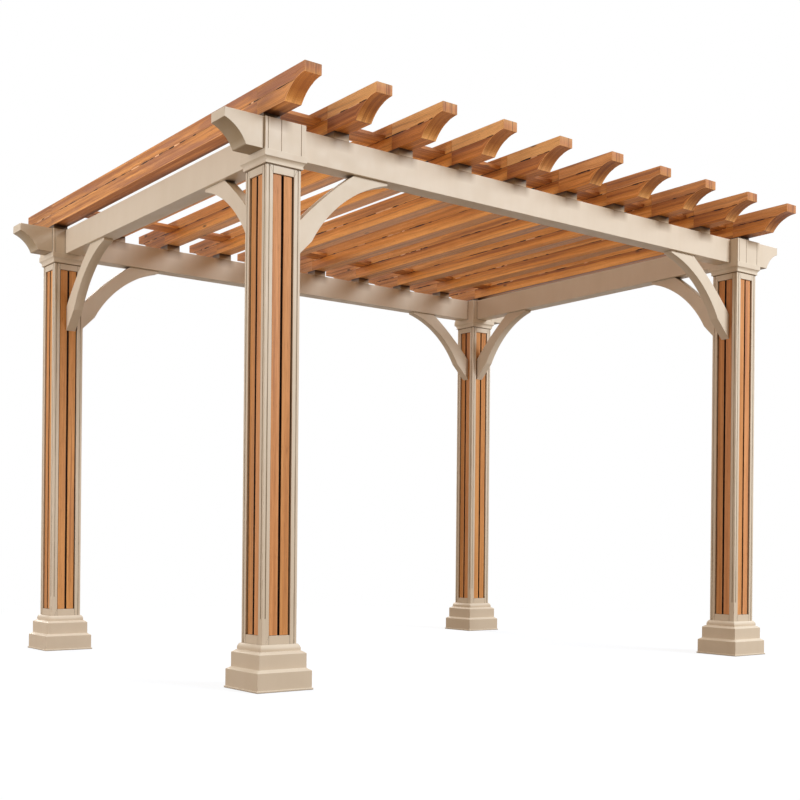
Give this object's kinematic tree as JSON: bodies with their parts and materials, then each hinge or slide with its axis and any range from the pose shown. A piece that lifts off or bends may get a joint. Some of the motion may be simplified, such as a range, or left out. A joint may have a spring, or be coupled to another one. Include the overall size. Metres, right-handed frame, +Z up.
{
  "type": "wooden pergola",
  "caption": "Free-standing open wooden pergola: cream cased posts with inset wood slats, painted beams, coved brackets, arched knee braces and brown rafters with coved tails.",
  "frame": {"origin": "on the ground, midway between the four posts", "axes": "+X along the front to the right, +Y from front to back, +Z up"},
  "size_m": [4.14, 3.38, 2.845],
  "materials": {
    "cream_paint": "wood painted cream, satin, with fine joint lines",
    "rafter_wood": "oiled brown timber with long streaky grain, planed, satin",
    "slat_wood": "planed light brown timber slats, satin"
  },
  "bodies": {
    "root": {"back_beam": "cream_paint", "back_left_bracket": "cream_paint", "back_left_capital": "cream_paint", "back_left_long_brace": "cream_paint", "back_left_post": "cream_paint", "back_left_side_brace": "cream_paint", "back_left_skirt": "cream_paint", "back_left_slats": "slat_wood", "back_right_bracket": "cream_paint", "back_right_capital": "cream_paint", "back_right_long_brace": "cream_paint", "back_right_post": "cream_paint", "back_right_side_brace": "cream_paint", "back_right_skirt": "cream_paint", "back_right_slats": "slat_wood", "front_beam": "cream_paint", "front_left_bracket": "cream_paint", "front_left_capital": "cream_paint", "front_left_long_brace": "cream_paint", "front_left_post": "cream_paint", "front_left_side_brace": "cream_paint", "front_left_skirt": "cream_paint", "front_left_slats": "slat_wood", "front_right_bracket": "cream_paint", "front_right_capital": "cream_paint", "front_right_long_brace": "cream_paint", "front_right_post": "cream_paint", "front_right_side_brace": "cream_paint", "front_right_skirt": "cream_paint", "front_right_slats": "slat_wood", "left_beam": "cream_paint", "rafter_01": "rafter_wood", "rafter_02": "rafter_wood", "rafter_03": "rafter_wood", "rafter_04": "rafter_wood", "rafter_05": "rafter_wood", "rafter_06": "rafter_wood", "rafter_07": "rafter_wood", "rafter_08": "rafter_wood", "rafter_09": "rafter_wood", "rafter_10": "rafter_wood", "rafter_blocking": "rafter_wood", "rafter_seats": "cream_paint", "right_beam": "cream_paint"}
  },
  "joints": []
}
